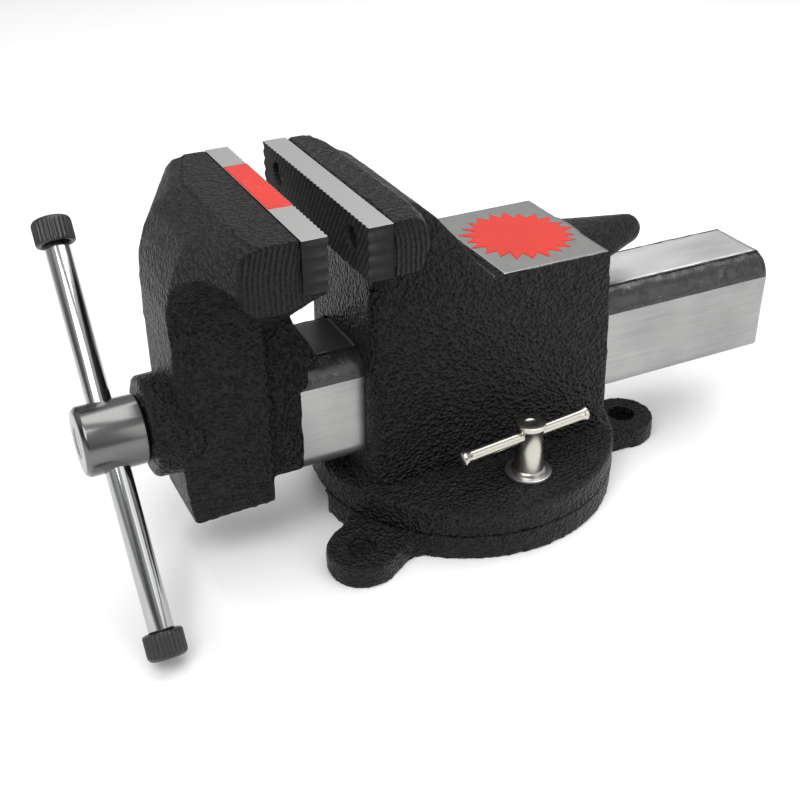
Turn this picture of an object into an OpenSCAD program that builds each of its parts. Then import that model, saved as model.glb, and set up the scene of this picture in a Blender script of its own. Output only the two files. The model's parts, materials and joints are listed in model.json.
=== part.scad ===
// Bench vise with a swivel base, an anvil and a channel-shaped slide bar.
// Millimetres. Z is up from the bench, +Y points from the handle to the tail of the bar.
// The origin is on the swivel axis, on the bench.

/* [Jaws] */
// Width of the jaws and of their plates
jaw_w = 152.4; // [130:0.2:190]
// Height of the jaw tops above the bench
jaw_top = 226; // [215:1:275]
// Height of a jaw plate
plate_h = 31; // [24:0.5:38]
// Thickness of a jaw plate
plate_t = 15; // [11:0.5:19]
// Gap between the jaw plates as drawn
jaw_gap = 22; // [6:1:40]
// Place of the rear clamping face along Y
rear_face_y = -101.3; // [-125:0.1:-95]
// Thread radius of the jaw plate screws
screw_r = 4; // [3:0.5:5]
// Distance of the plate screws from the middle of the jaw
screw_x = 54; // [40:1:60]

/* [Rear body] */
// Width of the body and of the anvil
body_w = 96.5; // [92:0.5:112]
// Place of the rear face of the body along Y
body_back = 76.6; // [66:0.2:95]
// Height of the anvil face above the bench
anvil_top = 166; // [156:1:180]
// Depth of the anvil face from front to back
anvil_len = 76; // [60:1:80]
// Reach of the horn behind the body
horn_len = 56; // [40:1:70]
// Half width of the horn at its root
horn_half_w = 31; // [24:1:40]
// Half height of the horn at its root
horn_half_h = 14.5; // [12:0.5:18]
// Radius of the horn at its tip
horn_tip_r = 10; // [7:0.5:14]

/* [Slide bar] */
// Width of the slide bar
bar_w = 67; // [60:0.5:74]
// Height of the slide bar
bar_h = 68.5; // [62:0.5:76]
// Height of the underside of the slide bar above the bench
bar_bottom = 58.3; // [56:0.1:64]
// Radius of the upper corners of the slide bar
bar_corner = 16; // [10:1:18]
// Thickness of the side walls of the slide bar
bar_wall = 9.5; // [7:0.5:11]
// Thickness of the roof of the slide bar
bar_roof = 12; // [9:0.5:14]
// Place of the tail end of the slide bar along Y
bar_tail = 223; // [190:1:270]
// Running clearance around the slide bar
bar_clear = 0.3; // [0.15:0.05:0.6]

/* [Swivel base] */
// Radius of the base and of the swivel flange
base_r = 103; // [98:0.5:115]
// Thickness of the base
base_h = 17.6; // [16:0.2:22]
// Height of the top of the swivel flange above the bench
flange_top = 36; // [33:0.5:42]
// Distance of the bench bolt holes outside the edge of the base
lug_out = 22.7; // [18:0.1:40]
// Radius of the rounded end of a lug
lug_r = 22.5; // [18:0.5:28]
// Thickness of a lug
lug_h = 16; // [12:0.5:16]
// Radius of a bench bolt hole
lug_hole_r = 8.5; // [6:0.25:10]
// Radius of the fillet between a lug and the base
lug_fillet = 13; // [6:1:20]
// Depth of the flat on one side of the base
flat_cut = 16; // [0:1:18]
// Vertical running gap between the base and the swivel flange
swivel_gap = 0.1; // [0.05:0.05:0.3]
// Radius of the pivot bolt
pivot_r = 8; // [6:0.5:9]

/* [Spindle and handle] */
// Height of the spindle axis above the bench
spindle_z = 93.5; // [90:0.5:97]
// Radius of the spindle screw
spindle_r = 13; // [10:0.5:14]
// Radius of the spindle hub
hub_r = 21; // [18:0.5:24]
// Length of the spindle hub
hub_len = 38; // [30:1:46]
// Radius of the cast boss around the spindle
boss_r = 31; // [27:0.5:34]
// Radius of the handle bar
handle_r = 7.5; // [6:0.25:9]
// Length of the handle over its caps
handle_len = 265; // [200:1:300]
// Lean of the handle from the vertical, in degrees
handle_lean = 38.1; // [0:0.1:60]
// Radius of a handle cap
cap_r = 11.9; // [11:0.1:15]
// Length of a handle cap
cap_len = 16; // [12:0.5:24]
// Running clearance of round sliding and turning fits
fit = 0.06; // [0.02:0.01:0.1]

/* [Swivel locks] */
// Radius of the shank of a lock bolt
lock_r = 6; // [5:0.5:7]
// Radius of the washer under a lock nut
lock_washer_r = 15; // [13:0.5:17]
// Gap between a lock washer and the foot of the body
lock_gap = 0.32; // [0.2:0.02:2]
// Radius of the foot of a lock nut
lock_nut_r = 11; // [9.5:0.5:12]
// Height of a lock nut
lock_nut_h = 35; // [30:1:42]
// Radius of the bar of a lock nut
lock_bar_r = 3.9; // [3:0.1:4.5]
// Length of the bar of a lock nut
lock_bar_len = 97.6; // [80:0.5:104]
// Turn of the lock bars away from the Y axis, in degrees
lock_turn = 6.6; // [0:0.1:8]
// How far the lock bars are slid towards the front
lock_slide = 4; // [0:0.5:8]

/* [Hidden] */
$fn = 64;

// Overshoot of a cut past the face that it opens
cut = 1;
// Clearance between pieces that are bolted together
seat = 0.05;
// Radial clearance of a loose hole around a bolt
loose = 0.25;
// Colours of the finishes
cast_black = [0.09, 0.09, 0.095];
bright_steel = [0.75, 0.75, 0.74];
chromed = [0.85, 0.86, 0.88];
dark_steel = [0.35, 0.35, 0.36];

// Jaws
plate_bottom = jaw_top - plate_h;
body_front = rear_face_y + plate_t;
front_face_y = rear_face_y - jaw_gap;
front_seat_y = front_face_y - plate_t;
screw_z = jaw_top - plate_h * 0.45;
screw_head_r = screw_r + 3;
screw_head_h = 4;
screw_len = 30;
half_jaw = jaw_w / 2;
// Jaw head: depth of its flat top, its nose and its ears
ear_depth = 34.5;
ear_drop = 7.5;
// How much shallower the ear at -X is, and how deep the rib under the ledge gets
ear_less = 8;
rib_drop = 30;
ledge_y = front_face_y - 0.8;
nose_half = 30;

// Column of the front jaw, with its plan widening towards the rear
column_front = front_seat_y - 60.5;
column_rear = front_seat_y - 9;
column_front_half = 27;
column_rear_half = 38;
column_foot = 33.5;
column_heel = 43;
scoop_r = 40;
scoop_tilt = 27;
scoop_turn = 8;
// Thickness of the ear ends, which the scoops leave standing
ear_tip = 15;
// How far the jaw heads grow from their ends to where the ears are full
ear_swell = 4;
ear_full = half_jaw - 13;

// Rear body
half_body = body_w / 2;
edge_r = 7;
anvil_front = body_back - anvil_len;
anvil_lip = 3;
ridge_y = body_front + 18;
ear_back = body_front + 22.5;
back_draft = 9;
gusset_r = 17;
skirt = 7;
skirt_h = 9;

// Slide bar and the channel inside it
half_bar = bar_w / 2;
bar_top = bar_bottom + bar_h;
neck_skin = 0.9;
neck_end = front_seat_y + 10;
channel_half = half_bar - bar_wall;
channel_top = bar_top - bar_roof;
channel_start = front_seat_y + 18;

// Spindle
boss_y = column_front - 15;
hub_end = boss_y - seat - hub_len;
hub_y = boss_y - seat - hub_len / 2;
hub_chamfer = 2;
// How far the handle sits outside the middle of the hub
handle_out = 1.2;
handle_y = hub_y - handle_out;
washer_t = 3;
collar_t = 12;
collar_r = channel_top - spindle_z - 2.5;
collar_y = channel_start + washer_t + 2 * seat;
pin_r = 3;
nut_y0 = body_front + 11;
nut_y1 = nut_y0 + 50;
spindle_tail = nut_y1 + 145;
nut_half = channel_half - 3;
nut_top = channel_top - 2.8;
floor_z = bar_bottom - bar_clear;
nut_bolt_r = 5;

// Handle
cap_wall = 4;
bar_half_len = handle_len / 2 - cap_wall - seat;

// Swivel base, its slot and its pivot
base_flat = base_r - flat_cut;
lug_reach = base_r + lug_out;
lock_angle = 8.2;
lock_x = half_body + skirt + lock_gap + lock_washer_r;
lock_ring_r = lock_x / cos(lock_angle);
lock_y = lock_ring_r * sin(lock_angle);
slot_half = lock_r + 0.5;
slot_lip = 5.4;
slot_floor = 4;
head_half = lock_r + 4;
slot_wide = head_half + 1.3;
entry_half = head_half + 0.4;
head_z0 = slot_floor + 0.5;
head_z1 = base_h - slot_lip - 0.3;
flange_z0 = base_h + swivel_gap;
pocket_r = 20;
pocket_h = 7;
pivot_washer_t = 1.6;
pivot_nut_z = 1;
pivot_head_r = 14;
pivot_head_h = 8;
pivot_pocket = floor_z - 12;
// How far the lug fillets cut past tangency
fillet_bite = 0.15;
lug_turn = 13.5;
lug_spread = 70.5;
lug_angles = [lug_turn - lug_spread, lug_turn + lug_spread, lug_turn + 180];
flat_angle = -118;

// Swivel locks
lock_washer_t = 2.2;
lock_nut_z0 = flange_top + lock_washer_t + 2 * seat;
lock_nut_z1 = lock_nut_z0 + lock_nut_h;
lock_bar_z = lock_nut_z1 - 8.5;
lock_neck_r = lock_nut_r - 2.6;
lock_cap_r = lock_nut_r - 1.6;
lock_bolt_top = lock_bar_z - lock_bar_r - 2;

// Labels
label_t = 0.3;
star_points = 22;
star_out = 38;
star_in = 31;

// Extrudes an outline drawn in X and Z from y0 to y1
module along_y(y0, y1) {
    translate([0, y1, 0])
        rotate([90, 0, 0])
            linear_extrude(y1 - y0)
                children();
}

// Extrudes an outline drawn in Y and Z from x0 to x1
module along_x(x0, x1) {
    translate([x0, 0, 0])
        rotate([90, 0, 90])
            linear_extrude(x1 - x0)
                children();
}

// Cylinder along Y
module rod_y(r, y0, y1, z = 0) {
    translate([0, y1, z])
        rotate([90, 0, 0])
            cylinder(r = r, h = y1 - y0);
}

// Rectangle with round corners, from its lower left to its upper right corner
module round_rect(x0, y0, x1, y1, r) {
    translate([x0 + r, y0])
        square([x1 - x0 - 2 * r, y1 - y0]);
    translate([x0, y0 + r])
        square([x1 - x0, y1 - y0 - 2 * r]);
    for (x = [x0 + r, x1 - r], y = [y0 + r, y1 - r])
        translate([x, y])
            circle(r);
}

// Section of the slide bar: round upper corners, small lower ones
module bar_section(grow) {
    w = half_bar + grow;
    z0 = bar_bottom - grow;
    z1 = bar_top + grow;
    r = bar_corner + grow;
    translate([-w, z0 + 2])
        square([2 * w, z1 - r - z0 - 2]);
    translate([-w + 2, z0])
        square([2 * w - 4, 3]);
    translate([-w + r, z1 - r - cut])
        square([2 * w - 2 * r, r + cut]);
    for (side = [-1, 1]) {
        translate([side * (w - r), z1 - r])
            circle(r);
        translate([side * (w - 2), z0 + 2])
            circle(2);
    }
}

// Plate screws along Y: heads at head_y, shanks towards +Y or, if dir is -1, towards -Y
module plate_screws(head_y, dir, grow, tail) {
    for (side = [-1, 1])
        translate([side * screw_x, head_y, screw_z])
            rotate([-90 * dir, 0, 0]) {
                cylinder(r = screw_head_r + grow, h = screw_head_h + grow);
                cylinder(r = screw_r + grow, h = screw_len + tail);
            }
}

// Driver recess of the plate screws
module screw_recess(head_y, dir) {
    for (side = [-1, 1])
        translate([side * screw_x, head_y, screw_z])
            rotate([-90 * dir, 0, 0])
                translate([0, 0, -cut])
                    cylinder(r = screw_r - 0.8, h = 2.5 + cut, $fn = 6);
}

// Outline of the base with its three lugs
module base_outline() {
    difference() {
        circle(base_r, $fn = 128);
        rotate(flat_angle)
            translate([base_flat, -base_r])
                square([base_r, 2 * base_r]);
    }
}

// One lug in plan, along +X, with its fillets against the base
module lug_plan() {
    v = lug_r + lug_fillet;
    u = sqrt(pow(base_r + lug_fillet, 2) - v * v);
    k = base_r / (base_r + lug_fillet);
    translate([lug_reach, 0])
        circle(lug_r);
    translate([base_flat - 10, -lug_r])
        square([lug_reach - base_flat + 10, 2 * lug_r]);
    for (side = [-1, 1])
        difference() {
            polygon([[u, side * (lug_r - cut)], [u, side * v], [u * k, side * v * k],
                [u * k - 8, side * v * k], [u * k - 8, side * (lug_r - cut)]]);
            translate([u, side * v])
                circle(lug_fillet + fillet_bite);
        }
}

module swivel_base() {
    color(cast_black)
        difference() {
            union() {
                linear_extrude(base_h)
                    base_outline();
                for (a = lug_angles)
                    rotate(a)
                        linear_extrude(lug_h)
                            lug_plan();
            }
            for (a = lug_angles)
                rotate(a)
                    translate([lug_reach, 0, -cut])
                        cylinder(r = lug_hole_r, h = lug_h + 2 * cut);
            rotate_extrude($fn = 128) {
                translate([lock_ring_r - slot_half, slot_floor])
                    square([2 * slot_half, base_h]);
                translate([lock_ring_r - slot_wide, slot_floor])
                    square([2 * slot_wide, base_h - slot_lip - slot_floor]);
            }
            rotate(90)
                translate([lock_ring_r - entry_half, -entry_half, -cut])
                    cube([2 * entry_half, 2 * entry_half, slot_floor + 1.5 * cut]);
            translate([0, 0, -cut])
                cylinder(r = pivot_r + fit, h = base_h + 2 * cut);
            translate([0, 0, -cut])
                cylinder(r = pocket_r, h = pocket_h + cut);
        }
}

module pivot_bolt() {
    color(dark_steel) {
        translate([0, 0, 1.5])
            cylinder(r = pivot_r, h = pivot_pocket - 1);
        translate([0, 0, pivot_pocket + swivel_gap])
            cylinder(r = pivot_head_r, h = pivot_head_h, $fn = 6);
    }
}

module pivot_washer() {
    color(bright_steel)
        translate([0, 0, pocket_h - pivot_washer_t - seat])
            difference() {
                cylinder(r = pocket_r - 3, h = pivot_washer_t);
                translate([0, 0, -cut])
                    cylinder(r = pivot_r + loose, h = pivot_washer_t + 2 * cut);
            }
}

module pivot_nut() {
    color(dark_steel)
        translate([0, 0, pivot_nut_z])
            difference() {
                cylinder(r = pivot_head_r,
                    h = pocket_h - pivot_washer_t - 2 * seat - pivot_nut_z, $fn = 6);
                translate([0, 0, -cut])
                    cylinder(r = pivot_r + seat, h = pocket_h);
            }
}

// Side view of the body: block, rear jaw, swept back and anvil face
module body_side() {
    polygon([[body_front, flange_top - 4], [body_front, jaw_top], [ridge_y, jaw_top],
        [ridge_y + 10, jaw_top - 4], [ridge_y + 22, jaw_top - 14],
        [ridge_y + 36, jaw_top - 30], [anvil_front - 20, anvil_top + 13],
        [anvil_front - 8, anvil_top + 1], [anvil_front, anvil_top - anvil_lip],
        [anvil_front, anvil_top], [body_back, anvil_top],
        [body_back + back_draft, flange_top + 8], [body_back + back_draft, flange_top - 4]]);
}

// End view of an ear of the rear jaw, swollen towards the back
module rear_ear(swell) {
    b = ear_back + swell;
    polygon([[body_front, plate_bottom - 1], [body_front, jaw_top],
        [b - 9, jaw_top], [b - 4, jaw_top - 2.5], [b - 1, jaw_top - 8],
        [b, jaw_top - 16], [b - 3, jaw_top - 26], [b - 8, plate_bottom - 1]]);
}

// Under an ear: a concave fillet between the body and the underside of the ear
module ear_gusset(side) {
    scale([side, 1, 1])
        along_y(body_front, ear_back - 6)
            difference() {
                translate([half_body - 2, plate_bottom - 1 - gusset_r])
                    square([gusset_r + 2, gusset_r + 2]);
                translate([half_body + gusset_r, plate_bottom - 1 - gusset_r])
                    circle(gusset_r);
            }
}

// The horn: oval at its root and round at its blunt tip
module horn() {
    hull() {
        translate([0, body_back - 6, anvil_top - horn_half_h - 0.5])
            rotate([-90, 0, 0])
                scale([horn_half_w / horn_half_h, 1, 1])
                    cylinder(r = horn_half_h, h = 6, $fn = 48);
        translate([0, body_back + horn_len - horn_tip_r, anvil_top - 2 - horn_tip_r])
            sphere(horn_tip_r, $fn = 32);
    }
}

module rear_body_solid() {
    rotate_extrude($fn = 128) {
        translate([0, flange_z0])
            square([base_r, flange_top - flange_z0 - 3]);
        translate([0, flange_z0 + 1])
            square([base_r - 3, flange_top - flange_z0 - 1]);
        translate([base_r - 3, flange_top - 3])
            circle(3);
    }
    intersection() {
        linear_extrude(jaw_top)
            round_rect(-half_body, body_front, half_body, body_back + back_draft, edge_r);
        along_x(-half_body, half_body)
            body_side();
    }
    // The foot of the block spreads a little where it meets the flange
    translate([0, 0, flange_top - 4])
        hull() {
            linear_extrude(4 + skirt_h)
                round_rect(-half_body + 1, body_front + 1, half_body - 1,
                    body_back + back_draft - 2, edge_r);
            linear_extrude(4)
                round_rect(-half_body - skirt, body_front, half_body + skirt,
                    body_back + back_draft + 1, edge_r);
        }
    hull() {
        along_x(-half_jaw, half_jaw)
            rear_ear(0);
        along_x(-ear_full, ear_full)
            rear_ear(ear_swell);
        along_x(-half_body + 8, half_body - 8)
            rear_ear(ear_swell + 1.5);
    }
    for (side = [-1, 1])
        ear_gusset(side);
    horn();
}

module rear_body() {
    color(cast_black)
        difference() {
            rear_body_solid();
            along_y(body_front - 10, body_back + 1.5 * horn_len)
                bar_section(bar_clear);
            plate_screws(body_front - screw_head_h - 2, 1, seat, cut);
            translate([0, 0, flange_z0 - cut])
                cylinder(r = pivot_r + fit, h = floor_z);
            translate([0, 0, pivot_pocket])
                cylinder(r = pivot_head_r + 2, h = floor_z);
            for (side = [-1, 1])
                translate([side * lock_x, lock_y, flange_z0 - cut])
                    cylinder(r = lock_r + loose, h = floor_z);
            for (y = nut_bolt_places())
                translate([0, y, flange_z0 - cut]) {
                    cylinder(r = nut_bolt_r + loose, h = floor_z);
                    cylinder(r = 9.5, h = 10 + cut);
                }
        }
}

module rear_jaw_plate() {
    color(bright_steel)
        difference() {
            translate([-half_jaw, rear_face_y, plate_bottom])
                cube([jaw_w, plate_t - seat, plate_h]);
            plate_screws(rear_face_y + 3, 1, 0.1, cut);
            plate_recess(rear_face_y + 3, 1);
        }
}

// Mouth of the counterbore in front of the screw heads
module plate_recess(head_y, dir) {
    for (side = [-1, 1])
        translate([side * screw_x, head_y, screw_z])
            rotate([90 * dir, 0, 0])
                translate([0, 0, -0.5])
                    cylinder(r = screw_head_r + 0.1, h = 5);
}

module rear_jaw_screws() {
    color(dark_steel)
        difference() {
            plate_screws(rear_face_y + 3, 1, 0, 0);
            screw_recess(rear_face_y + 3, 1);
        }
}

// End view of an ear of the front jaw, swollen towards the front
module front_ear(swell) {
    s = front_seat_y;
    f = s - ear_depth - swell;
    polygon([[s, plate_bottom + 1], [s, jaw_top], [f + 16, jaw_top], [f + 6, jaw_top - 1.6],
        [f + 1.4, jaw_top - 6], [f, jaw_top - 13], [f, jaw_top - 25],
        [f + 2, jaw_top - 33], [f + 8, jaw_top - 38.5], [f + 18, plate_bottom - ear_drop - 1],
        [min(f + 28, s), plate_bottom - ear_drop + 0.5]]);
}

// Ledge of the front jaw under its plate
module front_ledge() {
    s = front_seat_y;
    polygon([[s - 8, plate_bottom], [s - 15, plate_bottom - ear_drop],
        [s - 3, plate_bottom - 6.5], [s + 7, plate_bottom - 2.5], [ledge_y, plate_bottom - 2],
        [ledge_y, plate_bottom]]);
}

// End view of the front jaw at its middle
module ledge_rib(drop) {
    s = front_seat_y;
    polygon([[s - 8, plate_bottom - 1], [s - 8, plate_bottom - 4 - drop],
        [s + 8, plate_bottom - 3 - drop], [ledge_y - 3, plate_bottom - 3 - drop / 3],
        [ledge_y - 1.5, plate_bottom - 1]]);
}
module front_nose() {
    s = front_seat_y;
    polygon([[s, plate_bottom - 30], [s, jaw_top], [s - 26, jaw_top], [s - 38, jaw_top - 3.5],
        [s - 47.5, jaw_top - 10.5], [s - 54, jaw_top - 22],
        [s - 58.7, jaw_top - 36], [s - 61, jaw_top - 50], [column_front, jaw_top - 76],
        [s - 24, jaw_top - 76]]);
}

// Side view of the column with its sloping foot
module column_side() {
    polygon([[column_front, spindle_z - 35], [column_front, jaw_top - 74],
        [column_rear, jaw_top - 36], [column_rear, column_heel],
        [column_front + 3, column_foot]]);
}

module front_web() {
    // Gusset of the throat, from the jaw head down to the slide bar
    s = front_seat_y;
    along_x(-half_bar, half_bar)
        polygon([[column_rear - 2, bar_top - 20], [column_rear - 2, plate_bottom - 1],
            [ledge_y - 1, plate_bottom - 1], [ledge_y - 1, plate_bottom - 5],
            [s + 5, plate_bottom - 22], [s + 10, bar_top + 30], [s + 14.6, bar_top + 22],
            [s + 19.3, bar_top + 15], [s + 24.3, bar_top + 3], [s + 25, bar_top - 1],
            [s + 10, bar_top - 16], [s + 10, bar_top - 20]]);
}
module front_jaw_solid() {
    difference() {
        union() {
            hull() {
                along_x(half_jaw - 1, half_jaw)
                    front_ear(0);
                along_x(-half_jaw, 1 - half_jaw)
                    front_ear(-ear_less);
                along_x(0, ear_full)
                    front_ear(ear_swell);
                along_x(-ear_full, 0)
                    front_ear(ear_swell - ear_less);
                along_x(-nose_half, nose_half)
                    front_nose();
            }
            along_x(-half_jaw, half_jaw)
                front_ledge();
            hull() {
                along_x(2 - half_jaw, half_jaw - 2)
                    ledge_rib(0);
                along_x(-half_bar, half_bar)
                    ledge_rib(rib_drop);
            }
        }
        for (side = [-1, 1])
            translate([side * (column_rear_half + scoop_r - 4), column_rear,
                plate_bottom - ear_drop - scoop_r / cos(scoop_tilt) - 1])
                rotate([-scoop_tilt, 0, -side * scoop_turn])
                    rod_y(scoop_r, -100, 34);
    }
    along_x(half_jaw - ear_tip, half_jaw)
        front_ear(0);
    along_x(-half_jaw, ear_tip - half_jaw)
        front_ear(-ear_less);
    intersection() {
        linear_extrude(jaw_top)
            polygon([[-column_front_half, column_front], [column_front_half, column_front],
                [column_rear_half, column_rear], [-column_rear_half, column_rear]]);
        along_x(-column_rear_half, column_rear_half)
            column_side();
    }
    front_web();
    rod_y(boss_r, boss_y + 2, column_front + 12, spindle_z);
    rod_y(boss_r - 2, boss_y, boss_y + 3, spindle_z);
    along_y(column_rear - 10, neck_end)
        bar_section(neck_skin);
    along_y(column_rear - 10, bar_tail)
        bar_section(0);
}

module front_jaw() {
    color(cast_black)
        difference() {
            front_jaw_solid();
            translate([-channel_half, channel_start, bar_bottom - cut])
                cube([2 * channel_half, bar_tail - channel_start + cut,
                    channel_top - bar_bottom + cut]);
            rod_y(spindle_r + fit, boss_y - cut, channel_start + cut, spindle_z);
            plate_screws(front_seat_y + screw_head_h + 2, -1, seat, cut);
        }
}

module front_jaw_plate() {
    color(bright_steel)
        difference() {
            translate([-half_jaw, front_seat_y + seat, plate_bottom + seat])
                cube([jaw_w, plate_t - seat, plate_h - seat]);
            plate_screws(front_face_y - 3, -1, 0.1, cut);
            plate_recess(front_face_y - 3, -1);
        }
}

module front_jaw_screws() {
    color(dark_steel)
        difference() {
            plate_screws(front_face_y - 3, -1, 0, 0);
            screw_recess(front_face_y - 3, -1);
        }
}

// Places what is drawn along Z onto the axis of the handle
module on_handle() {
    translate([0, handle_y, spindle_z])
        rotate([0, -handle_lean, 0])
            children();
}

module spindle() {
    color(chromed)
        difference() {
            union() {
                rod_y(hub_r, hub_end + hub_chamfer, boss_y - seat, spindle_z);
                translate([0, hub_end, spindle_z])
                    rotate([-90, 0, 0])
                        cylinder(r1 = hub_r - hub_chamfer, r2 = hub_r, h = hub_chamfer);
                rod_y(spindle_r, hub_end + hub_len / 2, spindle_tail, spindle_z);
            }
            on_handle()
                translate([0, 0, -hub_r - cut])
                    cylinder(r = handle_r + fit, h = 2 * hub_r + 2 * cut);
            translate([0, collar_y + collar_t / 2, spindle_z - spindle_r - cut])
                cylinder(r = pin_r + seat, h = 2 * spindle_r + 2 * cut);
        }
}

function nut_bolt_places() = [nut_y0 + 12, nut_y1 - 12];

module spindle_nut() {
    color(dark_steel)
        difference() {
            translate([0, 0, floor_z + seat])
                linear_extrude(nut_top - floor_z)
                    round_rect(-nut_half, nut_y0, nut_half, nut_y1, 4);
            rod_y(spindle_r + 0.1, nut_y0 - cut, nut_y1 + cut, spindle_z);
            for (y = nut_bolt_places())
                translate([0, y, floor_z - cut])
                    cylinder(r = nut_bolt_r + seat, h = 14 + cut);
        }
}

module nut_bolts() {
    color(dark_steel)
        for (y = nut_bolt_places())
            translate([0, y, flange_z0 + 1]) {
                cylinder(r = 9, h = 9 - 2 * seat);
                cylinder(r = nut_bolt_r, h = floor_z - flange_z0 + 10);
            }
}

module thrust_washer() {
    color(bright_steel)
        difference() {
            rod_y(collar_r, channel_start + seat, channel_start + seat + washer_t, spindle_z);
            rod_y(spindle_r + loose, channel_start - cut, channel_start + washer_t + 2 * cut,
                spindle_z);
        }
}

module spindle_collar() {
    color(dark_steel)
        difference() {
            rod_y(collar_r, collar_y, collar_y + collar_t, spindle_z);
            rod_y(spindle_r + seat, collar_y - cut, collar_y + collar_t + cut, spindle_z);
            translate([0, collar_y + collar_t / 2, spindle_z - collar_r - cut])
                cylinder(r = pin_r + seat, h = 2 * collar_r + 2 * cut);
        }
}

module collar_pin() {
    color(bright_steel)
        translate([0, collar_y + collar_t / 2, spindle_z - collar_r + 1])
            cylinder(r = pin_r, h = 2 * collar_r - 2);
}

module handle_bar() {
    color(chromed)
        on_handle()
            translate([0, 0, -bar_half_len])
                cylinder(r = handle_r, h = 2 * bar_half_len);
}

// A cup-shaped cap over the end of the handle bar, with grip ribs around it
module handle_cap() {
    ribs = 20;
    color(cast_black)
        on_handle()
            translate([0, 0, handle_len / 2 - cap_len])
                difference() {
                    union() {
                        cylinder(r = cap_r - 0.7, h = cap_len - 1.5);
                        cylinder(r1 = cap_r - 0.7, r2 = cap_r - 2.2, h = cap_len);
                        for (i = [0 : ribs - 1])
                            rotate(i * 360 / ribs)
                                translate([cap_r - 1, 0, 0.5])
                                    cylinder(r = 1, h = cap_len - 2.5, $fn = 16);
                    }
                    translate([0, 0, -cut])
                        cylinder(r = handle_r + seat, h = cap_len - cap_wall + cut);
                }
}

module handle_cap_upper() {
    handle_cap();
}

module handle_cap_lower() {
    color(cast_black)
        translate([0, handle_y, spindle_z])
            rotate([0, 180, 0])
                translate([0, -handle_y, -spindle_z])
                    handle_cap();
}

// Places a right-hand lock piece; side = -1 gives the left-hand one
module on_lock(side) {
    translate([side * lock_x, lock_y, 0])
        children();
}

module lock_bolt(side) {
    color(bright_steel)
        on_lock(side) {
            rotate(side * lock_angle)
                translate([-head_half, -head_half, head_z0])
                    cube([2 * head_half, 2 * head_half, head_z1 - head_z0]);
            translate([0, 0, head_z0 + 1])
                cylinder(r = lock_r, h = lock_bolt_top - head_z0 - 1);
        }
}

module lock_washer(side) {
    color(bright_steel)
        on_lock(side)
            translate([0, 0, flange_top + seat])
                difference() {
                    cylinder(r = lock_washer_r, h = lock_washer_t);
                    translate([0, 0, -cut])
                        cylinder(r = lock_r + loose, h = lock_washer_t + 2 * cut);
                }
}

// Places what is drawn along Z onto the axis of a lock bar
module on_lock_bar(side) {
    on_lock(side)
        translate([0, 0, lock_bar_z])
            rotate([-90, 0, side * lock_turn])
                children();
}

module lock_nut(side) {
    color(bright_steel)
        difference() {
            on_lock(side)
                translate([0, 0, lock_nut_z0])
                    rotate_extrude()
                        polygon([[lock_r + fit, 0], [lock_nut_r, 0], [lock_nut_r, 1.6],
                            [lock_nut_r - 1.2, 3], [lock_nut_r - 2, 12],
                            [lock_neck_r, lock_nut_h - 16], [lock_neck_r, lock_nut_h - 4],
                            [lock_cap_r, lock_nut_h - 2.6], [lock_cap_r, lock_nut_h - 0.8],
                            [lock_cap_r - 0.8, lock_nut_h], [0, lock_nut_h],
                            [0, lock_nut_h - 5], [lock_r + fit, lock_nut_h - 5]]);
            on_lock_bar(side)
                translate([0, 0, -20])
                    cylinder(r = lock_bar_r + fit, h = 40);
        }
}

module lock_bar(side) {
    half = lock_bar_len / 2;
    color(bright_steel)
        on_lock_bar(side)
            translate([0, 0, -half - lock_slide])
                rotate_extrude()
                    polygon([[0, 0], [lock_bar_r + 0.6, 0], [lock_bar_r + 1.1, 0.6],
                        [lock_bar_r + 1.1, 2], [lock_bar_r, 4], [lock_bar_r, 2 * half - 4],
                        [lock_bar_r + 1.1, 2 * half - 2], [lock_bar_r + 1.1, 2 * half - 0.6],
                        [lock_bar_r + 0.6, 2 * half], [0, 2 * half]]);
}

module lock_bolt_right() { lock_bolt(1); }
module lock_bolt_left() { lock_bolt(-1); }
module lock_washer_right() { lock_washer(1); }
module lock_washer_left() { lock_washer(-1); }
module lock_nut_right() { lock_nut(1); }
module lock_nut_left() { lock_nut(-1); }
module lock_bar_right() { lock_bar(1); }
module lock_bar_left() { lock_bar(-1); }

// A plain star on the anvil face
module anvil_label() {
    color([0.85, 0.2, 0.15])
        translate([0, (anvil_front + body_back) / 2, anvil_top + 0.02])
            linear_extrude(label_t)
                polygon([for (i = [0 : 2 * star_points - 1])
                    (i % 2 == 0 ? star_out : star_in)
                        * [cos(i * 180 / star_points), sin(i * 180 / star_points)]]);
}

// A plain strip on top of the front jaw plate
module jaw_label() {
    color([0.85, 0.25, 0.18])
        translate([-43, front_seat_y + 0.5, jaw_top + 0.02])
            cube([72, plate_t - 1, label_t]);
}

swivel_base();
pivot_bolt();
pivot_washer();
pivot_nut();
rear_body();
rear_jaw_plate();
rear_jaw_screws();
front_jaw();
front_jaw_plate();
front_jaw_screws();
spindle();
spindle_nut();
nut_bolts();
thrust_washer();
spindle_collar();
collar_pin();
handle_bar();
handle_cap_upper();
handle_cap_lower();
lock_bolt_right();
lock_bolt_left();
lock_washer_right();
lock_washer_left();
lock_nut_right();
lock_nut_left();
lock_bar_right();
lock_bar_left();
anvil_label();
jaw_label();
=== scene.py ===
import json
import math

import bmesh
import bpy
from mathutils import Matrix, Vector, noise


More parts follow.
